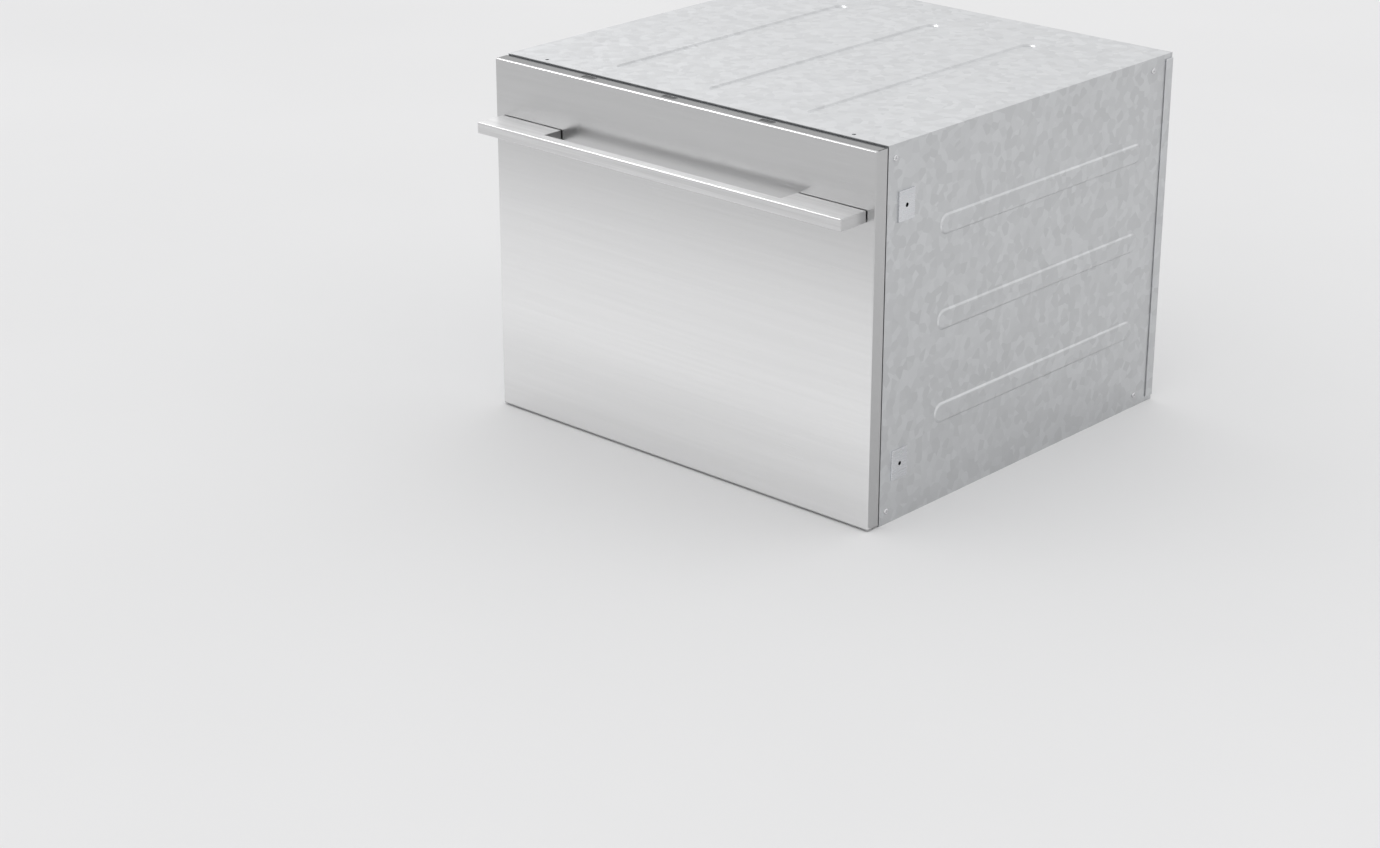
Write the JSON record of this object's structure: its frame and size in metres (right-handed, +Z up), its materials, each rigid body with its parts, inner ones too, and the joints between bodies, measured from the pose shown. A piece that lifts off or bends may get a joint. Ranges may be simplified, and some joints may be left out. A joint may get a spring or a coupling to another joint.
{
  "type": "dishwasher drawer",
  "caption": "Built-in dishwasher drawer: a tub behind a flat brushed steel front with a square bar handle rolls out of a steel chassis on telescopic slides under a lifting lid.",
  "frame": {"origin": "centre of the base under the whole product, handle included", "axes": "+X right as seen from the front, -Y towards the user, +Z up"},
  "size_m": [0.599, 0.617, 0.454],
  "materials": {
    "galvanised_steel": "zinc coated sheet, light spangle",
    "brushed_steel": "fine horizontal brushing, satin",
    "handle_steel": "fine lengthwise brushing, satin",
    "slide_steel": "bright zinc plated",
    "tub_plastic": "moulded polypropylene, satin",
    "lid_plastic": "moulded polypropylene, satin",
    "dark_plastic": "moulded, fine grain",
    "grey_plastic": "moulded, fine grain",
    "white_plastic": "moulded, satin",
    "natural_acetal": "moulded, satin",
    "blue_plastic": "moulded, gloss",
    "gloss_black": "moulded, gloss",
    "rubber": "soft, matt",
    "grey_rubber": "soft, matt",
    "felt": "pressed fibre",
    "wire_coating": "nylon coated steel wire",
    "stainless_sheet": "bright rolled sheet",
    "screw_steel": "bright zinc",
    "shaft_steel": "ground bar",
    "heater_enamel": "heat tinted steel"
  },
  "bodies": {
    "chassis": {"base_tray": "galvanised_steel", "side_panel_left": "galvanised_steel", "side_panel_right": "galvanised_steel", "back_panel": "galvanised_steel", "top_panel": "galvanised_steel", "front_frame": "grey_plastic", "front_seal": "rubber", "fixing_brackets": "slide_steel", "slide_outers": "slide_steel", "lid_guide_posts": "shaft_steel", "lid_motor": "dark_plastic", "shaft_bearings": "white_plastic", "inlet_valve": "white_plastic", "drain_outlet": "grey_plastic", "cable_gland": "dark_plastic", "power_box": "white_plastic", "chassis_screws": "screw_steel"},
    "lid": {"lid_shell": "lid_plastic", "lid_liner": "stainless_sheet", "lid_seal": "grey_rubber", "lid_racks": "natural_acetal"},
    "lid_drive": {"lid_shaft": "shaft_steel", "lid_pinions": "natural_acetal"},
    "slide_middle_pair": {"slide_middles": "slide_steel"},
    "outer_cages": {"outer_ball_cages": "slide_steel"},
    "inner_cages": {"inner_ball_cages": "slide_steel"},
    "drawer": {"front_panel": "brushed_steel", "inner_panel": "grey_plastic", "panel_insulation": "felt", "handle": "handle_steel", "handle_screws": "screw_steel", "control_strip": "gloss_black", "display_window": "gloss_black", "tub": "tub_plastic", "runner_brackets": "slide_steel", "slide_inners": "slide_steel", "sump": "white_plastic", "wash_motor": "dark_plastic", "drain_pump": "dark_plastic", "heater_plate": "heater_enamel", "filter_plate": "stainless_sheet", "motor_controller": "dark_plastic", "dispenser": "white_plastic", "base_rack": "wire_coating", "centre_tines": "wire_coating", "rack_posts": "grey_plastic", "cutlery_basket": "grey_plastic"},
    "power_key": {"power_button": "dark_plastic"},
    "program_key": {"program_button": "dark_plastic"},
    "start_key": {"start_button": "dark_plastic"},
    "impeller": {"impeller": "natural_acetal"},
    "spray_arm": {"spray_arm": "grey_plastic"},
    "fine_filter": {"fine_filter": "stainless_sheet"},
    "tine_row_left": {"tine_row_left": "wire_coating"},
    "tine_row_right": {"tine_row_right": "wire_coating"},
    "cup_rack_left": {"cup_rack_left": "wire_coating"},
    "cup_rack_right": {"cup_rack_right": "wire_coating"},
    "dispenser_flap": {"dispenser_flap": "white_plastic"},
    "rinse_aid_cap": {"rinse_aid_cap": "blue_plastic"}
  },
  "joints": [
    {"name": "drawer_slide", "type": "slide", "parent": "chassis", "child": "drawer", "axis": [0, -1, 0], "range_m": [0, 0.5]},
    {"name": "slide_middle_travel", "type": "slide", "parent": "chassis", "child": "slide_middle_pair", "axis": [0, -1, 0], "range_m": [0, 0.25]},
    {"name": "outer_cage_travel", "type": "slide", "parent": "chassis", "child": "outer_cages", "axis": [0, -1, 0], "range_m": [0, 0.125]},
    {"name": "inner_cage_travel", "type": "slide", "parent": "chassis", "child": "inner_cages", "axis": [0, -1, 0], "range_m": [0, 0.375]},
    {"name": "lid_lift", "type": "slide", "parent": "chassis", "child": "lid", "axis": [0, 0, 1], "range_m": [0, 0.012]},
    {"name": "lid_shaft_turn", "type": "hinge", "parent": "chassis", "child": "lid_drive", "pos_m": [0, 0.249, 0.428], "axis": [1, 0, 0], "range_deg": [-58, 0]},
    {"name": "power_button_press", "type": "slide", "parent": "drawer", "child": "power_key", "axis": [0, 0, -1], "range_m": [0, 0.0015], "stiffness_N_per_m": 300, "springref_m": -0.0005},
    {"name": "program_button_press", "type": "slide", "parent": "drawer", "child": "program_key", "axis": [0, 0, -1], "range_m": [0, 0.0015], "stiffness_N_per_m": 300, "springref_m": -0.0005},
    {"name": "start_button_press", "type": "slide", "parent": "drawer", "child": "start_key", "axis": [0, 0, -1], "range_m": [0, 0.0015], "stiffness_N_per_m": 300, "springref_m": -0.0005},
    {"name": "impeller_spin", "type": "hinge", "parent": "drawer", "child": "impeller", "pos_m": [0, -0.0035, 0.04], "axis": [0, 0, 1], "continuous": true},
    {"name": "spray_arm_spin", "type": "hinge", "parent": "drawer", "child": "spray_arm", "pos_m": [0, -0.0035, 0.11], "axis": [0, 0, 1], "continuous": true},
    {"name": "fine_filter_twist", "type": "hinge", "parent": "drawer", "child": "fine_filter", "pos_m": [0, -0.0885, 0.086], "axis": [0, 0, 1], "range_deg": [0, 60]},
    {"name": "tine_row_left_fold", "type": "hinge", "parent": "drawer", "child": "tine_row_left", "pos_m": [-0.17, -0.0035, 0.1385], "axis": [0, 1, 0], "range_deg": [0, 85]},
    {"name": "tine_row_right_fold", "type": "hinge", "parent": "drawer", "child": "tine_row_right", "pos_m": [0.17, -0.0035, 0.1385], "axis": [0, -1, 0], "range_deg": [0, 85]},
    {"name": "cup_rack_left_fold", "type": "hinge", "parent": "drawer", "child": "cup_rack_left", "pos_m": [-0.256, -0.0035, 0.25], "axis": [0, -1, 0], "range_deg": [0, 88]},
    {"name": "cup_rack_right_fold", "type": "hinge", "parent": "drawer", "child": "cup_rack_right", "pos_m": [0.256, -0.0035, 0.25], "axis": [0, 1, 0], "range_deg": [0, 88]},
    {"name": "dispenser_flap_open", "type": "hinge", "parent": "drawer", "child": "dispenser_flap", "pos_m": [-0.047, -0.2215, 0.272], "axis": [-1, 0, 0], "range_deg": [0, 95]},
    {"name": "rinse_aid_cap_twist", "type": "hinge", "parent": "drawer", "child": "rinse_aid_cap", "pos_m": [0.035, -0.224, 0.307], "axis": [0, -1, 0], "range_deg": [0, 90]}
  ],
  "couplings": [
    {"joint": "slide_middle_travel", "follows": "drawer_slide", "ratio": 0.5},
    {"joint": "outer_cage_travel", "follows": "drawer_slide", "ratio": 0.25},
    {"joint": "inner_cage_travel", "follows": "drawer_slide", "ratio": 0.75},
    {"joint": "lid_shaft_turn", "follows": "lid_lift", "rad_per_m": -83.333}
  ]
}
